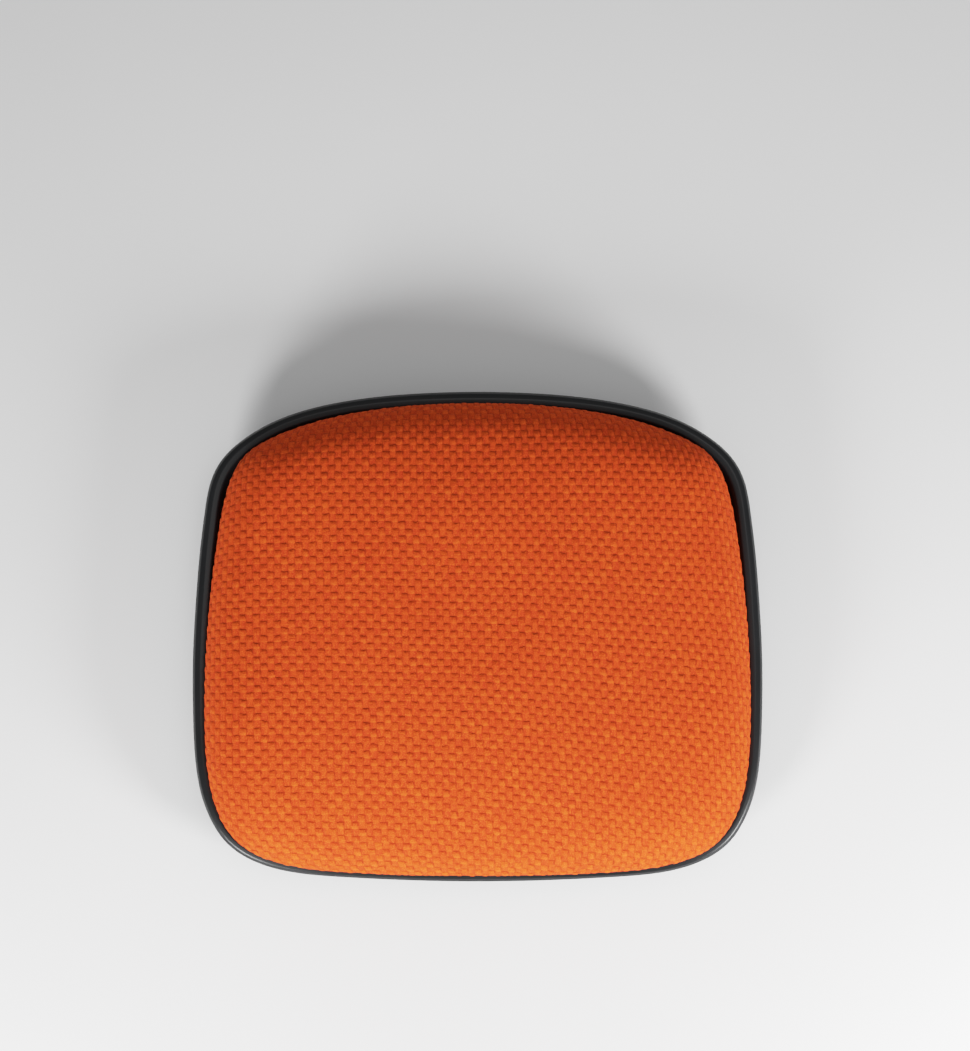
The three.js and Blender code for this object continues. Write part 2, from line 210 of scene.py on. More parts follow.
def ring_body(name, radii, heights, directions):
    """A closed body from rings, from its underside to its top, with a point on the axis at each end."""
    count = len(directions)
    rings = [
        np.column_stack([r * np.cos(directions), r * np.sin(directions), z])
        for r, z in zip(radii, heights)
    ]
    vertices = np.vstack([*rings, [[0, 0, heights[0].mean()]], [[0, 0, heights[-1].mean()]]])
    faces = ring_faces(len(rings), count)
    under = len(rings) * count
    top = under + 1
    last = (len(rings) - 1) * count
    for k in range(count):
        after = (k + 1) % count
        faces.append((under, after, k))
        faces.append((top, last + k, last + after))
    return new_piece(name, vertices, faces)


def applied(piece):
    """Replaces the piece's mesh by what its modifiers make of it."""
    graph = bpy.context.evaluated_depsgraph_get()
    graph.update()
    mesh = bpy.data.meshes.new_from_object(piece.evaluated_get(graph), depsgraph=graph)
    piece.modifiers.clear()
    old = piece.data
    piece.data = mesh
    mesh.name = piece.name
    bpy.data.meshes.remove(old)
    return piece


# ---- Cushion sections: the upholstered surface from the crown to the hem, in every direction ----

CROWN_STEPS = 24
ROW_STEPS = 8

# Each row: inset from the cushion's outline, least inset from the rim's outline, height.
UPHOLSTERY_ROWS = np.array([
    (150, 0, 90), (80, 0, 89), (44, 0, 85.8), (23, 0, 79), (9, 1, 69), (1, 3, 58),
    (1.5, 7, 51.5), (6, 18.5, 46), (8, 24, 34), (11.5, 33.5, 27), (13, 35, 20.2), (38, 60, 20.2),
]) * MM
TUCK_ROW = 7    # where the cloth dips out of sight behind the lip


def cushion_sections(inset=0.0):
    """Radius and height of the upholstered surface: one line for each direction, from the axis to the hem."""
    rows = open_spline(UPHOLSTERY_ROWS, ROW_STEPS)
    radii = [ring_radius(a + inset, b + inset) for a, b, _ in rows]
    levels = [np.full(DIRECTION_COUNT, z) for _, _, z in rows]
    inner = [radii[0] * i / CROWN_STEPS for i in range(CROWN_STEPS)]
    radius = np.column_stack(inner + radii)
    level = np.column_stack([levels[0]] * CROWN_STEPS + levels)
    x = radius * np.cos(DIRECTIONS)[:, None]
    y = radius * np.sin(DIRECTIONS)[:, None]
    return radius, cushion_height(x, y, level)


TABLE_STEP = 1.0 * MM
TABLE_LENGTH = 400


class CushionSurface:
    """The upholstered surface, read by direction and by the distance along the cloth from the crown."""

    def __init__(self):
        radius, height = cushion_sections()
        reach = np.zeros_like(radius)
        reach[:, 1:] = np.cumsum(np.hypot(np.diff(radius), np.diff(height)), axis=1)
        self.hem_reach = reach[:, -1]
        self.tuck_reach = reach[:, CROWN_STEPS + TUCK_ROW * ROW_STEPS]
        stations = np.arange(TABLE_LENGTH) * TABLE_STEP
        self.radius = np.array([np.interp(stations, s, r) for s, r in zip(reach, radius)])
        self.height = np.array([np.interp(stations, s, z) for s, z in zip(reach, height)])

    def along_ring(self, values, angle):
        return np.interp(angle, DIRECTIONS, values, period=2 * math.pi)

    def read(self, table, angle, reach):
        k = (angle / (2 * math.pi) * DIRECTION_COUNT) % DIRECTION_COUNT
        m = np.clip(reach / TABLE_STEP, 0, TABLE_LENGTH - 1.001)
        k0 = np.floor(k).astype(int)
        m0 = np.floor(m).astype(int)
        kf = k - k0
        mf = m - m0
        k0 %= DIRECTION_COUNT
        k1 = (k0 + 1) % DIRECTION_COUNT
        near = table[k0, m0] * (1 - kf) + table[k1, m0] * kf
        far = table[k0, m0 + 1] * (1 - kf) + table[k1, m0 + 1] * kf
        return near * (1 - mf) + far * mf

    def points(self, angle, reach):
        radius = self.read(self.radius, angle, reach)
        height = self.read(self.height, angle, reach)
        return np.stack([radius * np.cos(angle), radius * np.sin(angle), height], axis=-1)


# ---- Padding by cloth simulation ----

SIM_DIRECTIONS = 144
SIM_INSET = 3.5 * MM
SIM_VOXEL = 5 * MM
SIM_FRAMES = 20
SIM_PRESSURE = 0.4
SIM_STIFFNESS = 25
SIM_QUALITY = 5
SIM_CAP = 8 * MM
PIN_BELOW = 58 * MM


def start_pad():
    """The cushion's closed form, a little smaller than it will be, for the simulation to swell."""
    radius, height = cushion_sections(SIM_INSET)
    every = DIRECTION_COUNT // SIM_DIRECTIONS
    radii = radius[::every, 1:].T[::-1]
    heights = height[::every, 1:].T[::-1] - SIM_INSET
    piece = ring_body("pad_form", list(radii), list(heights), DIRECTIONS[::every])
    remesh = piece.modifiers.new("remesh", "REMESH")
    remesh.mode = "VOXEL"
    remesh.voxel_size = SIM_VOXEL
    return applied(piece)


def swell(piece):
    """Inflates the piece as cloth, pinned where the shell holds it, and caps how far it moves."""
    rest = coordinates(piece.data)
    pinned = piece.vertex_groups.new(name="pinned")
    low = np.flatnonzero(rest[:, 2] < PIN_BELOW - front_drop(rest[:, 1]))
    pinned.add(low.tolist(), 1.0, "REPLACE")
    cloth = piece.modifiers.new("cloth", "CLOTH")
    settings = cloth.settings
    settings.use_pressure = True
    settings.uniform_pressure_force = SIM_PRESSURE
    settings.effector_weights.gravity = 0
    settings.vertex_group_mass = pinned.name
    settings.quality = SIM_QUALITY
    settings.tension_stiffness = SIM_STIFFNESS
    settings.compression_stiffness = SIM_STIFFNESS
    settings.shear_stiffness = SIM_STIFFNESS / 3
    for step in range(1, SIM_FRAMES + 1):
        bpy.context.scene.frame_set(step)
    graph = bpy.context.evaluated_depsgraph_get()
    moved = coordinates(piece.evaluated_get(graph).data)
    piece.modifiers.remove(cloth)
    bpy.context.scene.frame_set(1)
    move = moved - rest
    distance = np.linalg.norm(move, axis=1, keepdims=True)
    set_coordinates(piece.data, rest + move * np.minimum(1, SIM_CAP / np.maximum(distance, TINY)))


SWELL_STEP_DIRECTIONS = 5
SWELL_STEP_TABLE = 4
PROBE = 20 * MM
SWELL_FADE = 20 * MM
SWELL_SMOOTHINGS = 3


def outward(surface, angle, reach):
    """The drawn surface's outward direction, within the upright plane through each direction."""
    before = surface.points(angle, np.maximum(0, reach - TABLE_STEP))
    ahead = surface.points(angle, reach + TABLE_STEP) - before
    around = np.stack([-np.sin(angle), np.cos(angle), 0 * angle], axis=-1)
    normals = np.cross(ahead, around)
    normals /= np.maximum(np.linalg.norm(normals, axis=-1, keepdims=True), TINY)
    normals[reach < TABLE_STEP] = (0, 0, 1)
    return normals


def stand_off(surface, form, angle, reach):
    """How far the form stands off the drawn surface, at each direction and distance along the cloth."""
    tree = BVHTree.FromObject(form, bpy.context.evaluated_depsgraph_get())
    points = surface.points(angle, reach)
    normals = outward(surface, angle, reach)
    found = np.zeros(angle.shape)
    limit = surface.along_ring(surface.tuck_reach, angle)
    for i, j in zip(*np.nonzero(reach < limit)):
        start = Vector(points[i, j] + normals[i, j] * PROBE)
        hit = tree.ray_cast(start, Vector(-normals[i, j]), 2 * PROBE)
        found[i, j] = 0 if hit[0] is None else PROBE - hit[3]
    return found


def pad_swelling(surface):
    """How far the simulation swells the pad, as a table like the drawn surface's own."""
    angles = DIRECTIONS[::SWELL_STEP_DIRECTIONS]
    stations = np.arange(0, TABLE_LENGTH, SWELL_STEP_TABLE) * TABLE_STEP
    angle, reach = np.meshgrid(angles, stations, indexing="ij")
    form = start_pad()
    before = stand_off(surface, form, angle, reach)
    swell(form)
    found = stand_off(surface, form, angle, reach) - before
    bpy.data.objects.remove(form)
    fade = np.clip((surface.along_ring(surface.tuck_reach, angle) - reach) / SWELL_FADE, 0, 1)
    found *= fade * fade * (3 - 2 * fade)
    for _ in range(SWELL_SMOOTHINGS):
        found = (np.roll(found, 1, 0) + 2 * found + np.roll(found, -1, 0)) / 4
        found[:, 1:-1] = (found[:, :-2] + 2 * found[:, 1:-1] + found[:, 2:]) / 4
    found[:, 0] = found[:, 0].mean()
    fine = np.array([np.interp(np.arange(TABLE_LENGTH) * TABLE_STEP, stations, line) for line in found])
    closed = np.vstack([fine, fine[:1]])
    spread = np.arange(DIRECTION_COUNT) / SWELL_STEP_DIRECTIONS
    low = np.floor(spread).astype(int)
    share = (spread - low)[:, None]
    return closed[low] * (1 - share) + closed[low + 1] * share


# ---- Woven cover ----

ROW_DIP = 0.035
ROW_DIP_HALF_LENGTH = 320 * MM
ROW_DIP_FADE = 130 * MM
COLUMN_LEAN = 0.045
COLUMN_FAN = 0.15
CELL_STRETCH = 0.18
WAVER = 0.4 * MM

# The strands' relief, as shares of RELIEF: at a cell's edges, how round it is across, and how each kind
# of cell rises and falls along a column.
EDGE_BULGE = 0.45
BULGE_ROUNDNESS = 0.6
VALLEY = 0.10
WARP_RISE = 0.60
WEFT_SHOULDER = 0.62
WEFT_CREST = 0.28
WEFT_DROP_POWER = 5


def skewed(u, v):
    """Where a point of the flat cloth lies before it is drawn over the pad.

    The cloth was pulled on a little askew: its rows dip towards the front right corner, its columns lean
    to the right towards the front, and its cells are wider on the left than on the right.
    """
    dip = ROW_DIP * (u + u * u / ROW_DIP_HALF_LENGTH) * (1 - v / ROW_DIP_FADE)
    lean = COLUMN_LEAN * v + COLUMN_FAN * u * v
    stretch = CELL_STRETCH * u * u
    x = u - lean - stretch + WAVER * np.sin(v / (23 * MM) + u / (90 * MM))
    y = v - dip + WAVER * np.sin(u / (31 * MM) - v / (80 * MM))
    return x, y


def weave_grid():
    """The cloth's grid, four steps to a cell: its flat coordinates and the relief of the strands, 0 to 1."""
    half_i = int(CLOTH_HALF_WIDTH / CELL_X) * STEPS_PER_CELL
    half_j = int(CLOTH_HALF_DEPTH / CELL_Y) * STEPS_PER_CELL
    i, j = np.meshgrid(np.arange(-half_i, half_i + 1), np.arange(-half_j, half_j + 1), indexing="ij")
    u = i * CELL_X / STEPS_PER_CELL
    v = j * CELL_Y / STEPS_PER_CELL
    cells_i = i.shape[0] // STEPS_PER_CELL + 4
    cells_j = i.shape[1] // STEPS_PER_CELL + 4
    float_lift = np.random.default_rng(FLOAT_SEED).normal(1, FLOAT_SPREAD, (cells_i, cells_j, 2))
    relief = np.zeros(i.shape)
    # Along a column, the strands climb over the warp cell to the weft cell and drop steeply behind it.
    for di in (-0.5, 0.5):
        for dj in (-0.5, 0.5):
            # A vertex between cells takes the mean of what each of them asks for.
            cell_i = np.floor((i + di) / STEPS_PER_CELL).astype(int)
            cell_j = np.floor((j + dj) / STEPS_PER_CELL).astype(int)
            across_u = i / STEPS_PER_CELL - cell_i
            across_v = j / STEPS_PER_CELL - cell_j
            warp_up = (cell_i + cell_j) % 2 == 0
            inner = np.where(warp_up, i + di, j + dj)
            strand = np.floor(inner / (STEPS_PER_CELL / 2)).astype(int) % 2
            lift = float_lift[cell_i % cells_i, cell_j % cells_j, strand]
            bulge = EDGE_BULGE + (1 - EDGE_BULGE) * np.sin(math.pi * across_u) ** BULGE_ROUNDNESS
            climb = VALLEY + WARP_RISE * np.sin(math.pi / 2 * across_v)
            crest = WEFT_SHOULDER + WEFT_CREST * np.sin(math.pi * across_v)
            crown = VALLEY + crest * (1 - across_v**WEFT_DROP_POWER)
            relief += np.where(warp_up, climb, crown) * bulge * lift / 4
    return u, v, relief


STRIP_ROWS = 12


def cloth_on_pad(surface, swelling):
    """The cloth over the pad: its points, their flat coordinates and directions, and its quads."""
    u, v, relief = weave_grid()
    x, y = skewed(u, v)
    angle = np.arctan2(y, x)
    reach = np.hypot(x, y)
    limit = surface.along_ring(surface.tuck_reach, angle)
    inside = reach < limit
    reach = np.minimum(reach, limit)
    points = surface.points(angle, reach)
    stand = surface.read(swelling, angle, reach)

    normals = np.cross(np.gradient(points, axis=0), np.gradient(points, axis=1))
    normals /= np.maximum(np.linalg.norm(normals, axis=-1, keepdims=True), TINY)
    depth = np.clip((limit - reach) / RELIEF_FADE, 0, 1)
    points = points + normals * (stand + RELIEF * (relief - 0.5) * depth)[..., None]

    index = np.arange(inside.size).reshape(inside.shape)
    kept = inside[:-1, :-1] | inside[1:, :-1] | inside[1:, 1:] | inside[:-1, 1:]
    quads = np.stack([index[:-1, :-1], index[1:, :-1], index[1:, 1:], index[:-1, 1:]], axis=-1)[kept]
    used, numbers = np.unique(quads, return_inverse=True)
    quads = numbers.reshape(quads.shape)
    return points.reshape(-1, 3)[used], u.ravel()[used], v.ravel()[used], angle.ravel()[used], quads


def border_of(quads):
    """The edges that only one quad has, running the way it runs."""
    edges = np.concatenate([quads[:, [k, (k + 1) % 4]] for k in range(4)])
    keys = np.sort(edges, axis=1)
    _, first, counts = np.unique(keys, axis=0, return_index=True, return_counts=True)
    return edges[first[counts == 1]]


def woven_cover(surface, swelling):
    """The cover: a grid that follows the strands over the pad, and plain strips from there to the hem."""
    points, u, v, angle, quads = cloth_on_pad(surface, swelling)
    border = border_of(quads)
    rim = np.unique(border)
    place_on_rim = np.full(len(points), -1)
    place_on_rim[rim] = np.arange(len(rim))
    rim_reach = surface.along_ring(surface.tuck_reach, angle[rim])
    hem_reach = surface.along_ring(surface.hem_reach, angle[rim])
    growth = hem_reach / rim_reach - 1

    vertices = [points]
    flat_u = [u]
    flat_v = [v]
    faces = quads.tolist()
    before = rim
    for row in range(1, STRIP_ROWS + 1):
        share = row / STRIP_ROWS
        vertices.append(surface.points(angle[rim], rim_reach + (hem_reach - rim_reach) * share))
        flat_u.append(u[rim] * (1 + growth * share))
        flat_v.append(v[rim] * (1 + growth * share))
        after = len(points) + (row - 1) * len(rim) + np.arange(len(rim))
        for a, b in place_on_rim[border]:
            faces.append((int(before[b]), int(before[a]), int(after[a]), int(after[b])))
        before = after

    piece = new_piece("woven_cover", np.vstack(vertices), faces)
    write_flat_cloth(piece.data, flat_u, flat_v)
    return piece


def write_flat_cloth(mesh, flat_u, flat_v):
    """Stores the flat cloth's coordinates as the UV map."""
    u = np.concatenate(flat_u) / (2 * CLOTH_HALF_WIDTH) + 0.5
    v = np.concatenate(flat_v) / (2 * CLOTH_HALF_DEPTH) + 0.5
    corners = np.empty(len(mesh.loops), int)
    mesh.loops.foreach_get("vertex_index", corners)
    layer = mesh.uv_layers.new(name="OFBake")
    layer.uv.foreach_set("vector", np.column_stack([u[corners], v[corners]]).ravel())


# ---- Foam ----

FOAM_EVERY = 4
FOAM_ROWS = 84
FOAM_GAP = 1.8 * MM
FOAM_TUCK_GAP = 1.4 * MM
FOAM_TUCK_FADE = 30 * MM
FOAM_BASE_ROOM = 4 * MM
FOAM_BASE_INSET = 6 * MM
FOAM_BASE_LIFT = 0.5 * MM


def foam_core(surface, swelling):
    """The moulded foam under the cover, flat where it rests on the board."""
    angle = DIRECTIONS[::FOAM_EVERY]
    tuck = surface.along_ring(surface.tuck_reach, angle)
    stations = np.arange(TABLE_LENGTH) * TABLE_STEP
    every_angle, every_reach = np.meshgrid(angle, stations, indexing="ij")
    level = surface.points(every_angle, every_reach)[..., 2]
    low = (level < BOARD_TOP + FOAM_BASE_ROOM) & (every_reach > tuck[:, None])
    end = stations[np.argmax(low, axis=1)]
    rows = []
    for share in np.arange(2, FOAM_ROWS + 1) / FOAM_ROWS:
        reach = end * share
        deeper = np.clip((reach - tuck + FOAM_TUCK_FADE) / FOAM_TUCK_FADE, 0, 1)
        gap = FOAM_GAP + FOAM_TUCK_GAP * deeper
        stand = surface.read(swelling, angle, reach)
        point = surface.points(angle, reach) + outward(surface, angle, reach) * (stand - gap)[:, None]
        rows.append((np.hypot(point[:, 0], point[:, 1]), point[:, 2]))
    base_radius = rows[-1][0] - FOAM_BASE_INSET
    rows.append((base_radius, np.full(len(base_radius), BOARD_TOP + FOAM_BASE_LIFT)))
    rows.reverse()
    return ring_body("foam_core", [r for r, _ in rows], [z for _, z in rows], angle)


# ---- Outer shell ----

SHELL_EVERY = 2

# Each corner: inset from the rim's outline, height and fillet radius, from the outer floor round the lip
# to the inner floor.
SHELL_PROFILE = [
    (60, 10, 6), (40, 12, 10), (24, 20.5, 14), (14.5, 35, 8), (11.5, 43.8, 2.2), (7.5, 45.8, 2), (2.6, 43, 2),
    (2.5, 37, 0.5), (0, 37, 0.6), (0, 43.5, 4), (2.5, 47.9, 3), (7, 49, 4), (12.8, 47.7, 3.5),
    (17.5, 36, 8), (27, 22.5, 14), (42, 15.4, 10), (60, 13.5, 6),
]
FILLET_STEPS = 6
LONGEST_CUT = 0.45
SHELL_SHARP_ANGLE = 38


def filleted(profile):
    """The profile's corners rounded, each by its own radius."""
    points = [np.array(p[:2], float) for p in profile]
    rounded = [points[0]]
    for before, corner, after, (_, _, radius) in zip(points, points[1:], points[2:], profile[1:-1]):
        back = before - corner
        on = after - corner
        back_length = np.linalg.norm(back)
        on_length = np.linalg.norm(on)
        cosine = np.clip(back @ on / (back_length * on_length), -1, 1)
        tangent = radius / math.tan(math.acos(cosine) / 2)
        cut = min(tangent, LONGEST_CUT * back_length, LONGEST_CUT * on_length)
        start = corner + back / back_length * cut
        end = corner + on / on_length * cut
        for t in np.linspace(0, 1, FILLET_STEPS):
            rounded.append((1 - t) ** 2 * start + 2 * t * (1 - t) * corner + t**2 * end)
    rounded.append(points[-1])
    return np.array(rounded) * MM


def shell_pan():
    """The pan and its lip as one closed ring body."""
    directions = DIRECTIONS[::SHELL_EVERY]
    rim = RIM_RADIUS[::SHELL_EVERY]
    radii = []
    heights = []
    for inset, z in filleted(SHELL_PROFILE):
        radius = rim - inset
        radii.append(radius)
        heights.append(shell_height(radius * np.sin(directions), z))
    return ring_body("outer_shell", radii, heights, directions)


def rounded_rectangle(width, depth, radius, steps=8):
    """The rectangle's outline round the origin, with this many points on each rounded corner."""
    corners = []
    for quarter, (sx, sy) in enumerate(((1, 1), (-1, 1), (-1, -1), (1, -1))):
        centre = np.array([sx * (width / 2 - radius), sy * (depth / 2 - radius)])
        for t in np.linspace(0, 1, steps):
            angle = (quarter + t) * math.pi / 2
            corners.append(centre + radius * np.array([math.cos(angle), math.sin(angle)]))
    return np.array(corners)


def stacked(name, outline_of, levels, centre):
    """A closed body from outlines stacked at rising levels; outline_of gives the outline for a spread."""
    rings = []
    for spread, z in levels:
        outline = outline_of(spread)
        rings.append(np.column_stack([outline + centre, np.full(len(outline), z)]))
    count = len(rings[0])
    faces = ring_faces(len(rings), count)
    faces.append(tuple(range(count))[::-1])
    last = (len(rings) - 1) * count
    faces.append(tuple(last + k for k in range(count)))
    return new_piece(name, np.vstack(rings), faces)


def disc_outline(radius, sides=32):
    angles = np.arange(sides) * 2 * math.pi / sides
    return radius * np.column_stack([np.cos(angles), np.sin(angles)])


def joined(name, pieces):
    """One object from several, with their meshes side by side."""
    vertices = []
    faces = []
    for piece in pieces:
        start = len(vertices)
        vertices.extend(tuple(v.co) for v in piece.data.vertices)
        faces.extend(tuple(start + i for i in p.vertices) for p in piece.data.polygons)
        mesh = piece.data
        bpy.data.objects.remove(piece)
        bpy.data.meshes.remove(mesh)
    return new_piece(name, vertices, faces)


def boolean(piece, tool, operation):
    """Adds or cuts the tool, and removes it from the scene."""
    step = piece.modifiers.new("boolean", "BOOLEAN")
    step.object = tool
    step.operation = operation
    step.solver = "MANIFOLD"
    applied(piece)
    mesh = tool.data
    bpy.data.objects.remove(tool)
    bpy.data.meshes.remove(mesh)


# In millimetres. Pads are given by width, depth and corner radius, bosses and holes by their radius.
MECHANISM_PAD = (196, 236, 14)
ARM_PAD = (56, 156, 10)
ARM_PAD_X = 163
ARM_PAD_Y = -5
SKIN = 3.5
PAN_INSIDE = 12.4    # a height inside the pan's floor, where pads, ribs and bosses grow into it
BOSS_TOP = 21.7
MECHANISM_BOSS = 8.5
MECHANISM_HOLE = 4.5
ARM_BOSS = 7.5
ARM_HOLE = 3.5
SCREW_BOSS = 7
COUNTERBORE = 5.2
SCREW_BORE = 2.3
MECHANISM_HOLES = [(x, y) for x in (-80, 80) for y in (-100, 100)]
ARM_HOLES = [(side * ARM_PAD_X, ARM_PAD_Y + step * 60) for side in (-1, 1) for step in (-1, 0, 1)]
SCREW_CORNERS = ((62, -147), (156, -118), (154, 107), (62, 138))
SCREW_PLACES = [(side * x, y) for x, y in SCREW_CORNERS for side in (-1, 1)]

SIDE_RIB = (38.5, 2.5)
SIDE_RIB_BOTTOM = 3
SIDE_RIB_X = 116.5
SIDE_RIB_YS = (-70, -30, 10, 50)
END_RIB = (2.5, 42)
END_RIB_BOTTOM = 5
END_RIB_XS = (-72, -36, 0, 36, 72)
END_RIB_Y = 138

# Spread and height up a wall. A pad has a rounded foot, a slight draft and a fillet into the floor.
PAD_LEVELS = [(-1.2, 0), (-0.4, 0.3), (0, 1.2), (0.5, 7.6), (1.0, 8.9), (2.2, 9.7), (4, 10.05), (4, 12.5)]
HOLLOW_LEVELS = [
    (-SKIN - 1, SKIN), (-SKIN, SKIN + 1), (-SKIN + 0.5, 12), (-SKIN + 2, 13),
    (-SKIN + 4, 13.6), (-SKIN + 4, 17),
]
BOSS_LEVELS = [(0.8, 2.5), (0.3, 4), (0, 6), (0, BOSS_TOP)]
SCREW_BOSS_LEVELS = [(1.2, PAN_INSIDE), (0.4, 14.4), (0, 15.5), (0, BOSS_TOP)]
HOLE_LEVELS = [(0.9, -0.4), (0.9, 0), (0, 0.7), (0, BOSS_TOP + 1)]
COUNTERBORE_LEVELS = [(0.7, 9), (0.5, 10), (0, 10.5), (0, 13)]
SCREW_HOLE_LEVELS = [(0, 12), (0, BOSS_TOP + 1)]


def in_metres(levels):
    return [(spread * MM, z * MM) for spread, z in levels]


def place(x, y):
    return np.array([x, y]) * MM


def pad_block(pad, levels, x, y):
    width, depth, radius = (value * MM for value in pad)

    def outline(spread):
        return rounded_rectangle(width + 2 * spread, depth + 2 * spread, radius + spread)

    return stacked("pad", outline, in_metres(levels), place(x, y))


def disc_block(radius, levels, x, y):
    def outline(spread):
        return disc_outline(radius * MM + spread)

    return stacked("disc", outline, in_metres(levels), place(x, y))


def rib(size, low, x, y):
    """A drafted rib with a rounded edge below and a fillet into the floor."""
    width, depth = size
    high = PAN_INSIDE

    def outline(spread):
        return rounded_rectangle(width * MM + 2 * spread, depth * MM + 2 * spread, 0.6 * MM + spread, 4)

    levels = [
        (-0.45, low), (-0.15, low + 0.15), (0, low + 0.6), (0.35, high - 3), (0.9, high - 2), (0.9, high),
    ]
    return stacked("rib", outline, in_metres(levels), place(x, y))


def discs(name, places, radius, levels):
    """Round blocks at all the places, as one object."""
    return joined(name, [disc_block(radius, levels, x, y) for x, y in places])


def outer_shell():
    """The moulded pan with its rolled lip, pads, ribs, bosses and holes."""
    pads = [(MECHANISM_PAD, 0, 0), (ARM_PAD, -ARM_PAD_X, ARM_PAD_Y), (ARM_PAD, ARM_PAD_X, ARM_PAD_Y)]
    shell = shell_pan()
    walls = [pad_block(pad, PAD_LEVELS, x, y) for pad, x, y in pads]
    boolean(shell, joined("walls", walls), "UNION")
    hollows = [pad_block(pad, HOLLOW_LEVELS, x, y) for pad, x, y in pads]
    boolean(shell, joined("hollows", hollows), "DIFFERENCE")

    added = [rib(SIDE_RIB, SIDE_RIB_BOTTOM, side * SIDE_RIB_X, y) for y in SIDE_RIB_YS for side in (-1, 1)]
    added += [rib(END_RIB, END_RIB_BOTTOM, x, side * END_RIB_Y) for x in END_RIB_XS for side in (-1, 1)]
    added.append(discs("bosses", MECHANISM_HOLES, MECHANISM_BOSS, BOSS_LEVELS))
    added.append(discs("bosses", ARM_HOLES, ARM_BOSS, BOSS_LEVELS))
    added.append(discs("bosses", SCREW_PLACES, SCREW_BOSS, SCREW_BOSS_LEVELS))
    boolean(shell, joined("added", added), "UNION")

    cut = [
        discs("holes", MECHANISM_HOLES, MECHANISM_HOLE, HOLE_LEVELS),
        discs("holes", ARM_HOLES, ARM_HOLE, HOLE_LEVELS),
        discs("counterbores", SCREW_PLACES, COUNTERBORE, COUNTERBORE_LEVELS),
    ]
    boolean(shell, joined("cut", cut), "DIFFERENCE")
    boolean(shell, discs("bores", SCREW_PLACES, SCREW_BORE, SCREW_HOLE_LEVELS), "DIFFERENCE")
    shell.data.shade_smooth()
    shell.data.set_sharp_from_angle(angle=math.radians(SHELL_SHARP_ANGLE))
    return shell


# ---- Fasteners ----

FASTENER_SHARP_ANGLE = 35

# In millimetres. A tee nut is given by the radii of its bore, barrel and flange.
M8_TEE_NUT = (3.4, 5.0, 11.0)
M6_TEE_NUT = (2.5, 4.0, 9.5)
FLANGE_THICKNESS = 1.4
NUT_THREAD_DEPTH = 0.45
NUT_TURNS = 7
HEAD_HEIGHT = 2.4
HEAD_RADIUS = 4.2
SOCKET_RADIUS = 1.75
SOCKET_DEPTH = 1.5
SCREW_RADIUS = 2.0
SCREW_ROOT = 1.5
SCREW_TURNS = 10
SCREW_SIDES = 36


def turned(name, profile, x, y, sides=40):
    """A body turned round a vertical axis from a closed line of (radius, z) pairs in millimetres."""
    angles = np.arange(sides) * 2 * math.pi / sides
    rings = [
        np.column_stack([r * np.cos(angles) + x, r * np.sin(angles) + y, np.full(sides, z)]) * MM
        for r, z in profile
    ]
    faces = ring_faces(len(rings), sides)
    last = (len(rings) - 1) * sides
    faces.extend((last + k, last + (k + 1) % sides, (k + 1) % sides, k) for k in range(sides))
    piece = new_piece(name, np.vstack(rings), faces)
    piece.data.set_sharp_from_angle(angle=math.radians(FASTENER_SHARP_ANGLE))
    return piece


def centre_of(node):
    """The middle of a CAD fastener in plan, and its bottom and top, in millimetres."""
    low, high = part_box(node)
    return (low.x + high.x) / 2 / MM, (low.y + high.y) / 2 / MM, low.z / MM, high.z / MM


def tee_nut(node, bore, barrel, flange):
    """A threaded barrel under a round flange, given by their radii."""
    x, y, low, high = centre_of(node)
    plate = high - FLANGE_THICKNESS
    threads = []
    for i in range(NUT_TURNS):
        z = high - 0.9 - i * (high - low - 1.6) / (NUT_TURNS - 0.5)
        threads.extend([(bore + NUT_THREAD_DEPTH, z), (bore, z - 0.55)])
    profile = [
        (barrel - 0.4, low), (barrel, low + 0.4), (barrel, plate - 0.3), (barrel + 0.3, plate),
        (flange - 0.3, plate), (flange, plate + 0.3), (flange, high - 0.3), (flange - 0.3, high),
        (bore + 1, high), (bore + 0.5, high - 0.4), *threads, (bore + 0.5, low),
    ]
    piece = turned(node + "_turned", profile, x, y)
    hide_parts(node)
    return piece


def shell_screw(node):
    """A pan-head screw, head down, with a round socket in its head and a point at its top."""
    x, y, low, high = centre_of(node)
    shoulder = low + HEAD_HEIGHT
    profile = [
        (SOCKET_RADIUS, low + SOCKET_DEPTH), (SOCKET_RADIUS, low + 0.15), (SOCKET_RADIUS + 0.15, low),
        (3.1, low), (3.7, low + 0.25), (4.1, low + 0.8), (HEAD_RADIUS, low + 1.3),
        (HEAD_RADIUS, shoulder - 0.2), (HEAD_RADIUS - 0.2, shoulder),
        (SCREW_RADIUS, shoulder), (SCREW_ROOT + 0.1, shoulder + 0.6),
    ]
    pitch = (high - shoulder - 3.2) / SCREW_TURNS
    for i in range(SCREW_TURNS):
        z = shoulder + 1 + i * pitch
        profile += [(SCREW_ROOT, z), (SCREW_RADIUS, z + 0.45 * pitch), (SCREW_ROOT, z + 0.9 * pitch)]
    profile += [(1.0, high - 1.4), (0.3, high - 0.2), (0.02, high), (0.02, low + SOCKET_DEPTH)]
    piece = turned(node + "_turned", profile, x, y, SCREW_SIDES)
    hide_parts(node)
    return piece


# ---- Materials ----

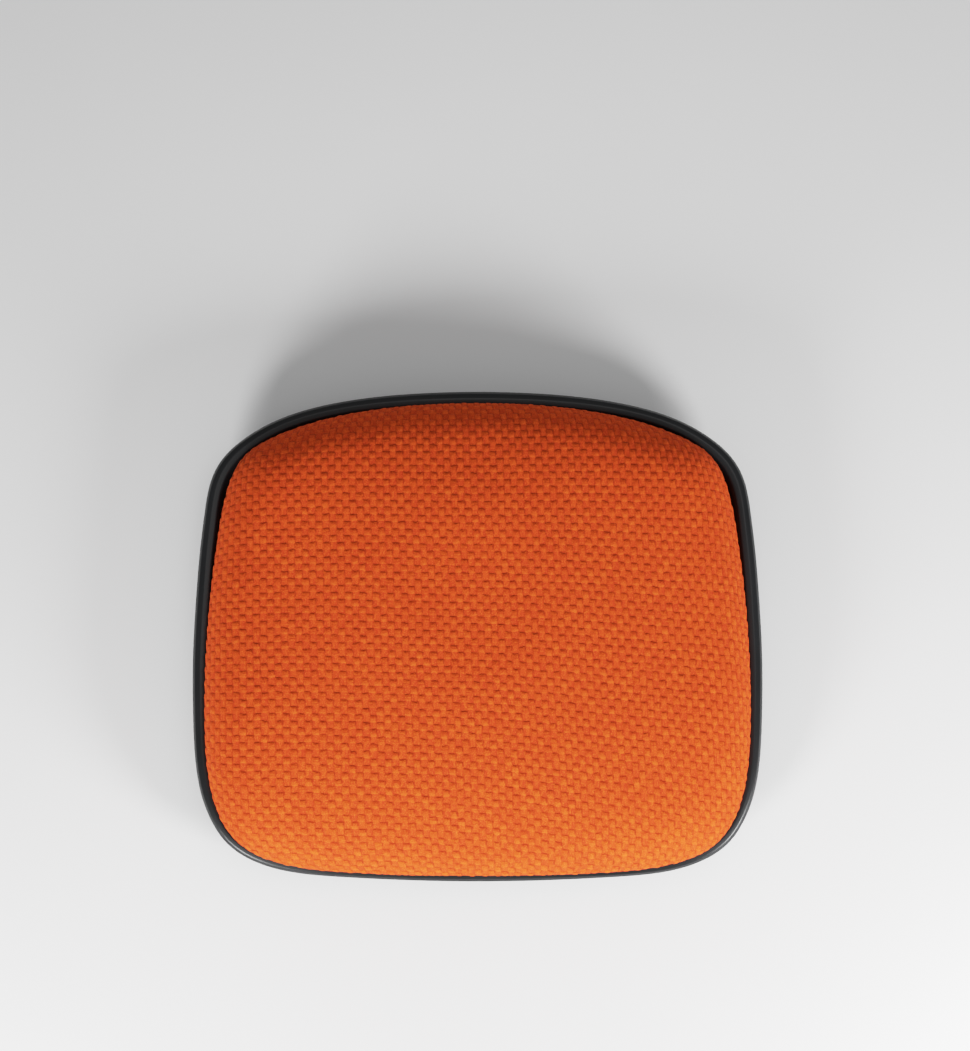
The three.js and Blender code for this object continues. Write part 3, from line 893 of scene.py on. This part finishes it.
class Look:
    """A Principled material, with short ways to add nodes to it."""

    def __init__(self, name, **settings):
        self.material = bpy.data.materials.new(name)
        self.material.use_nodes = True
        self.tree = self.material.node_tree
        self.shader = self.tree.nodes["Principled BSDF"]
        for socket, value in settings.items():
            self.shader.inputs[socket.replace("_", " ")].default_value = value

    def put(self, socket, value):
        if isinstance(value, bpy.types.NodeSocket):
            self.tree.links.new(value, socket)
        else:
            socket.default_value = value

    def node(self, kind, inputs=(), **settings):
        node = self.tree.nodes.new(kind)
        for name, value in settings.items():
            setattr(node, name, value)
        for name, value in dict(inputs).items():
            self.put(node.inputs[name], value)
        return node

    def math(self, operation, a, b=0.0):
        return self.node("ShaderNodeMath", {0: a, 1: b}, operation=operation).outputs[0]

    def vector(self, operation, a, b=(0, 0, 0)):
        return self.node("ShaderNodeVectorMath", {0: a, 1: b}, operation=operation).outputs[0]

    def choose(self, factor, a, b):
        return self.node("ShaderNodeMix", {0: factor, 2: a, 3: b}).outputs[0]

    def centred(self, value):
        """The distance from the middle of 0 to 1, from 0 there to 1 at both ends."""
        return self.math("ABSOLUTE", self.math("SUBTRACT", self.math("MULTIPLY", value, 2.0), 1.0))

    def place(self):
        return self.node("ShaderNodeTexCoord").outputs["Object"]

    def scaled(self, vector, scale):
        return self.node("ShaderNodeMapping", {"Vector": vector, "Scale": scale}).outputs[0]

    def noise(self, vector, scale, detail=2.0, roughness=0.5):
        inputs = {"Vector": vector, "Scale": scale, "Detail": detail, "Roughness": roughness}
        return self.node("ShaderNodeTexNoise", inputs).outputs["Fac"]

    def cells(self, vector, scale, feature="F1"):
        inputs = {"Vector": vector, "Scale": scale}
        return self.node("ShaderNodeTexVoronoi", inputs, feature=feature).outputs["Distance"]

    def spread(self, value, low, high, to_low=0.0, to_high=1.0):
        inputs = {"Value": value, "From Min": low, "From Max": high, "To Min": to_low, "To Max": to_high}
        return self.node("ShaderNodeMapRange", inputs).outputs[0]

    def mix(self, factor, a, b):
        node = self.node("ShaderNodeMix", data_type="RGBA")
        for index, value in ((0, factor), (6, a), (7, b)):
            self.put(node.inputs[index], value)
        return node.outputs[2]

    def bump(self, height, distance, strength=1.0, normal=None):
        inputs = {"Height": height, "Distance": distance, "Strength": strength}
        if normal is not None:
            inputs["Normal"] = normal
        return self.node("ShaderNodeBump", inputs).outputs[0]

    def finish(self, **sockets):
        for name, value in sockets.items():
            self.put(self.shader.inputs[name.replace("_", " ")], value)
        return self.material


def colour(r, g, b):
    return (r, g, b, 1.0)


class WeaveCell:
    """Where a point of the cloth lies in the weave: its place in a cell, and its strand's chance numbers."""

    def __init__(self, look):
        uv = look.node("ShaderNodeUVMap", uv_map="OFBake").outputs[0]
        size = (2 * CLOTH_HALF_WIDTH, 2 * CLOTH_HALF_DEPTH, 1)
        self.flat = look.vector("MULTIPLY", look.vector("SUBTRACT", uv, (0.5, 0.5, 0)), size)
        even = look.vector("DIVIDE", self.flat, (CELL_X, CELL_Y, 1))
        wobble = look.node("ShaderNodeTexNoise", {"Vector": even, "Scale": 1.1, "Detail": 2.0})
        from_middle = look.vector("SUBTRACT", wobble.outputs["Color"], (0.5, 0.5, 0.5))
        shift = look.vector("MULTIPLY", from_middle, (0.55, 0.55, 0))
        cells = look.vector("ADD", even, shift)
        whole = look.vector("FLOOR", cells)
        part = look.node("ShaderNodeSeparateXYZ", {"Vector": look.vector("SUBTRACT", cells, whole)})
        index = look.node("ShaderNodeSeparateXYZ", {"Vector": whole})
        self.x = part.outputs[0]
        self.y = part.outputs[1]
        column = index.outputs[0]
        row = index.outputs[1]
        self.weft_up = look.math("FLOORED_MODULO", look.math("ADD", column, row), 2.0)
        self.across = look.choose(self.weft_up, self.x, self.y)
        self.along = look.choose(self.weft_up, self.y, self.x)
        double = look.math("MULTIPLY", self.across, 2.0)
        strand = look.math("FLOOR", double)
        self.off_strand = look.centred(look.math("SUBTRACT", double, strand))
        self.off_column = look.centred(self.x)
        number = look.node("ShaderNodeCombineXYZ", {0: column, 1: row, 2: strand}).outputs[0]
        chance = look.node("ShaderNodeTexWhiteNoise", {"Vector": number}, noise_dimensions="3D")
        self.chance = chance.outputs["Value"]
        self.chances = look.node("ShaderNodeSeparateXYZ", {"Vector": chance.outputs["Color"]}).outputs


def cloth_crest(look, cell):
    """How high the strands stand: bulging across, climbing to each weft float and dropping behind it."""
    groove = look.math("POWER", cell.off_strand, 4.0)
    bulge = look.math("SUBTRACT", 1.0, look.math("MULTIPLY", look.math("POWER", cell.off_column, 3.0), 0.7))
    fall = look.math("SUBTRACT", 1.0, look.math("POWER", cell.y, 6.0))
    climb = look.choose(cell.weft_up, look.spread(cell.y, 0.0, 1.0, 0.15, 0.95), fall)
    lift = look.spread(cell.chances[0], 0.0, 1.0, 0.82, 1.15)
    puff = look.math("MULTIPLY", look.math("MULTIPLY", bulge, climb), lift)
    return look.math("SUBTRACT", puff, look.math("MULTIPLY", groove, 0.28))


def cloth_painted_shadow(look, cell, crest):
    """How dark the painted shade makes the weave: a painted shadow behind each float and beside it, and
    painted shade in the low places.
    """
    behind = look.choose(cell.weft_up, look.spread(cell.y, 0.15, 0.0), look.spread(cell.y, 0.84, 0.98))
    beside = look.choose(cell.weft_up, look.spread(cell.x, 0.24, 0.0), look.spread(cell.x, 0.78, 0.98))
    # Painted shadow of each float: a hook along its rear edge and a tick beside it.
    hook_shadow = look.math("MULTIPLY", behind, look.spread(cell.off_column, 1.0, 0.72))
    tick_shadow = look.math("MULTIPLY", beside, look.spread(cell.y, 0.20, 0.55))
    painted_shade = look.math("MAXIMUM", hook_shadow, tick_shadow)
    # Painted shade where the strands sink low.
    painted_shade = look.math("MAXIMUM", painted_shade, look.spread(crest, 0.45, 0.05, 0.0, 0.35))
    return look.math("MULTIPLY", painted_shade, look.spread(cell.chances[1], 0.0, 1.0, 0.22, 0.64))


def cloth_painted_highlight(look, cell):
    """How pale the painted highlight makes the front of each weft float, where it faces the lights in front.
    """
    front = look.math("MULTIPLY", look.spread(cell.y, 0.62, 0.15), look.spread(cell.off_column, 1.0, 0.5))
    highlight_strength = look.spread(cell.chances[2], 0.0, 1.0, 0.08, 0.46)
    return look.math("MULTIPLY", look.math("MULTIPLY", front, cell.weft_up), highlight_strength)


def cloth_streak(look, cell):
    """Streaks along the strands, slanted by their twist."""
    at = look.node("ShaderNodeCombineXYZ", {
        0: look.math("MULTIPLY", cell.across, 14.0),
        1: look.math("MULTIPLY", look.math("ADD", cell.along, cell.across), 3.0),
        2: look.math("MULTIPLY", cell.chance, 40.0),
    }).outputs[0]
    return look.noise(at, 1.0, 3.0, 0.65)


def orange_cloth():
    """Basket weave in orange wool: puffed floats, a painted shadow behind and beside each float, painted
    shade where strands dive, a painted highlight on the front of each weft float, streaks and loose fibres.
    """
    look = Look("orange_basket_weave", Sheen_Weight=0.08, Sheen_Roughness=0.5, Specular_IOR_Level=0.10)
    look.shader.inputs["Sheen Tint"].default_value = colour(1.0, 0.42, 0.12)
    cell = WeaveCell(look)
    crest = cloth_crest(look, cell)
    streak = cloth_streak(look, cell)
    fuzz = look.noise(cell.flat, 850.0, 3.0, 0.75)
    cloudy = look.noise(cell.flat, 26.0, 3.0)

    warp = look.mix(cell.chances[1], colour(0.54, 0.051, 0.012), colour(0.70, 0.081, 0.014))
    weft = look.mix(cell.chances[2], colour(0.62, 0.067, 0.012), colour(0.76, 0.098, 0.015))
    base = look.mix(cell.weft_up, warp, weft)
    # Painted highlight: the front of each weft float paled as if lit.
    base = look.mix(cloth_painted_highlight(look, cell), base, colour(0.95, 0.150, 0.026))
    base = look.mix(look.spread(streak, 0.52, 0.75, 0.0, 0.60), base, colour(0.96, 0.17, 0.034))
    base = look.mix(look.spread(streak, 0.48, 0.25, 0.0, 0.5), base, colour(0.44, 0.030, 0.010))
    base = look.mix(look.spread(fuzz, 0.52, 0.66, 0.0, 0.55), base, colour(1.0, 0.20, 0.040))
    base = look.mix(look.spread(fuzz, 0.47, 0.34, 0.0, 0.50), base, colour(0.42, 0.032, 0.010))
    base = look.mix(look.spread(cloudy, 0.35, 0.65, 0.0, 0.15), base, colour(0.58, 0.053, 0.012))
    # Painted shadow and shade: dark behind and beside each float and in the low places of the weave.
    base = look.mix(cloth_painted_shadow(look, cell, crest), base, colour(0.18, 0.010, 0.005))
    height = look.math("ADD", crest, look.math("MULTIPLY", streak, 0.45))
    normal = look.bump(height, 0.5 * MM, 1.0, look.bump(fuzz, 0.18 * MM, 0.8))
    return look.finish(Base_Color=base, Roughness=look.spread(streak, 0.3, 0.7, 0.95, 0.80), Normal=normal)


def black_moulding():
    """Satin black polypropylene with a fine moulded grain."""
    look = Look("black_polypropylene", Specular_IOR_Level=0.42)
    at = look.place()
    grain = look.cells(at, 1500.0, "SMOOTH_F1")
    fine = look.noise(at, 2600.0, 2.0)
    cloudy = look.noise(at, 14.0, 4.0)
    dark = colour(0.0065, 0.0072, 0.0080)
    light = colour(0.011, 0.012, 0.0135)
    base = look.mix(look.spread(cloudy, 0.3, 0.7), dark, light)
    base = look.mix(look.spread(fine, 0.45, 0.75, 0.0, 0.5), base, colour(0.017, 0.0185, 0.021))
    wear = look.math("ADD", look.math("MULTIPLY", cloudy, 0.5), look.math("MULTIPLY", fine, 0.5))
    rough = look.spread(wear, 0.3, 0.7, 0.29, 0.40)
    normal = look.bump(grain, 0.06 * MM, 0.5, look.bump(fine, 0.03 * MM, 0.5))
    return look.finish(Base_Color=base, Roughness=rough, Normal=normal)


def birch_ply():
    """Plywood: grain on its faces, plies on its edges."""
    look = Look("birch_plywood", Specular_IOR_Level=0.35)
    at = look.place()
    grain = look.noise(look.scaled(at, (60, 6, 60)), 6.0, 5.0, 0.65)
    fine = look.noise(look.scaled(at, (900, 60, 900)), 1.0, 3.0)
    plies = look.node(
        "ShaderNodeTexWave", {"Vector": at, "Scale": 78.0}, wave_type="BANDS", bands_direction="Z"
    ).outputs["Fac"]
    facing = look.node("ShaderNodeNewGeometry").outputs["Normal"]
    normal_z = look.node("ShaderNodeSeparateXYZ", {"Vector": facing}).outputs[2]
    edge = look.spread(look.math("ABSOLUTE", normal_z), 0.7, 0.4)
    face = look.mix(look.spread(grain, 0.35, 0.65), colour(0.60, 0.41, 0.22), colour(0.44, 0.27, 0.125))
    face = look.mix(look.spread(fine, 0.55, 0.75, 0.0, 0.5), face, colour(0.30, 0.17, 0.075))
    side = look.mix(look.spread(plies, 0.4, 0.6), colour(0.30, 0.17, 0.08), colour(0.62, 0.44, 0.25))
    base = look.mix(edge, face, side)
    rough = look.spread(fine, 0.3, 0.7, 0.6, 0.8)
    return look.finish(Base_Color=base, Roughness=rough, Normal=look.bump(fine, 0.1 * MM, 0.5))


def cream_foam():
    """Moulded foam with open pores, each darkened towards its middle with painted shade in the hollow."""
    look = Look("moulded_foam", Specular_IOR_Level=0.2, Roughness=0.95)
    at = look.place()
    pores = look.cells(at, 900.0)
    cloudy = look.noise(at, 30.0, 3.0)
    # Painted shade: each pore darker towards its middle.
    base = look.mix(look.spread(pores, 0.0, 0.5), colour(0.45, 0.36, 0.21), colour(0.80, 0.70, 0.50))
    base = look.mix(look.spread(cloudy, 0.3, 0.7, 0.0, 0.3), base, colour(0.70, 0.58, 0.36))
    return look.finish(Base_Color=base, Normal=look.bump(pores, 0.4 * MM, 0.7))


def plated_steel(name, light, dark, rough_low, rough_high):
    """Steel with a cloudy plated colour and fine scratches."""
    look = Look(name, Metallic=1.0)
    at = look.place()
    scratch = look.noise(look.scaled(at, (400, 400, 2600)), 1.0, 4.0, 0.6)
    cloudy = look.noise(at, 160.0, 3.0)
    base = look.mix(look.spread(cloudy, 0.35, 0.65), light, dark)
    rough = look.spread(scratch, 0.3, 0.7, rough_low, rough_high)
    return look.finish(Base_Color=base, Roughness=rough, Normal=look.bump(scratch, 0.02 * MM, 0.4))


def set_material(piece, material):
    piece.data.materials.clear()
    piece.data.materials.append(material)


# ---- Assembly ----

def dress(piece, material):
    """Gives the piece its material and says what it rides on and what it is made of."""
    set_material(piece, material)
    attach(piece, "root")
    return piece


surface = CushionSurface()
swelling = pad_swelling(surface)

cover = dress(woven_cover(surface, swelling), orange_cloth())
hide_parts("fabric_cover")
foam = dress(foam_core(surface, swelling), cream_foam())
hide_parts("foam_pad")
shell = dress(outer_shell(), black_moulding())
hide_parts("seat_shell")

zinc = plated_steel("zinc_plate", colour(0.62, 0.63, 0.66), colour(0.50, 0.51, 0.52), 0.25, 0.45)
black_oxide = plated_steel("black_oxide", colour(0.050, 0.050, 0.055), colour(0.028, 0.028, 0.03), 0.35, 0.55)
set_material(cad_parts["seat_board"], birch_ply())
for name, node in list(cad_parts.items()):
    if name.startswith("mechanism_tee_nut"):
        dress(tee_nut(name, *M8_TEE_NUT), zinc)
    elif name.startswith("arm_tee_nut"):
        dress(tee_nut(name, *M6_TEE_NUT), zinc)
    elif name.startswith("shell_screw"):
        dress(shell_screw(name), black_oxide)
    elif name.startswith("cover_staple"):
        set_material(node, zinc)


# ---- Floor, light and camera ----

FLOOR_HALF = 6.0
WORLD_STRENGTH = 0.26

# Each light: its name, its place, what it is aimed at, its width in metres and its power in watts.
LIGHTS = [
    ("front_right", (0.92, -0.78, 0.55), (0.0, -0.02, 0.05), 0.45, 22.0),
    ("front_left", (-0.72, -1.05, 0.58), (0.0, -0.05, 0.05), 0.45, 21.0),
    ("overhead", (0.25, 0.35, 1.9), (0, 0, 0.05), 1.2, 4.5),
]

CAMERA_LENS = 95.7
CAMERA_PLACE = (0.0066, -0.164, 2.535)
CAMERA_TILT = 6.0


def floor():
    """A pale floor under the pads."""
    corners = [(sx * FLOOR_HALF, sy * FLOOR_HALF, 0) for sx, sy in ((-1, -1), (1, -1), (1, 1), (-1, 1))]
    piece = new_piece("floor", corners, [(0, 1, 2, 3)])
    look = Look("pale_floor", Roughness=0.9, Specular_IOR_Level=0.1)
    at = look.place()
    base = look.mix(look.noise(at, 3.0), colour(0.86, 0.86, 0.86), colour(0.90, 0.90, 0.90))
    set_material(piece, look.finish(Base_Color=base))


def soft_light(name, position, target, size, power):
    """A round white area light at the position, aimed at the target."""
    data = bpy.data.lights.new(name, "AREA")
    data.shape = "DISK"
    data.size = size
    data.energy = power
    light = bpy.data.objects.new(name, data)
    bpy.context.scene.collection.objects.link(light)
    light.location = position
    light.rotation_euler = (Vector(target) - Vector(position)).to_track_quat("-Z", "Y").to_euler()
    light.visible_camera = False


def studio():
    """Soft white surroundings, two low lights in front and a weak one overhead."""
    world = bpy.data.worlds.new("studio")
    world.use_nodes = True
    background = world.node_tree.nodes["Background"]
    background.inputs["Color"].default_value = colour(1, 1, 1)
    background.inputs["Strength"].default_value = WORLD_STRENGTH
    bpy.context.scene.world = world
    for light in LIGHTS:
        soft_light(*light)


TONE_INPUT_MAX = 3.0
TONE_POINTS = [
    (0.0, 0.0), (0.03, 0.026), (0.09, 0.082), (0.22, 0.235), (0.40, 0.405), (0.56, 0.53), (0.76, 0.64),
    (1.22, 0.78), (1.71, 0.86), (2.3, 0.94), (3.0, 1.0),
]


def tone():
    """A gentle film-like shoulder, so that brightly lit cloth keeps its colour."""
    settings = bpy.context.scene.view_settings
    settings.view_transform = "Standard"
    settings.use_curve_mapping = True
    mapping = settings.curve_mapping
    mapping.white_level = (TONE_INPUT_MAX,) * 3
    curve = mapping.curves[3]
    while len(curve.points) > 2:
        curve.points.remove(curve.points[1])
    curve.points[0].location = TONE_POINTS[0]
    curve.points[1].location = (1.0, 1.0)
    for x, y in TONE_POINTS[1:-1]:
        curve.points.new(x / TONE_INPUT_MAX, y)
    mapping.update()


def camera():
    """Almost straight above the seat, leaning back from its front."""
    data = bpy.data.cameras.new("camera")
    data.lens = CAMERA_LENS
    data.sensor_width = 36.0
    view = bpy.data.objects.new("camera", data)
    bpy.context.scene.collection.objects.link(view)
    view.location = CAMERA_PLACE
    view.rotation_euler = (math.radians(CAMERA_TILT), 0, 0)
    bpy.context.scene.camera = view


floor()
studio()
tone()
camera()
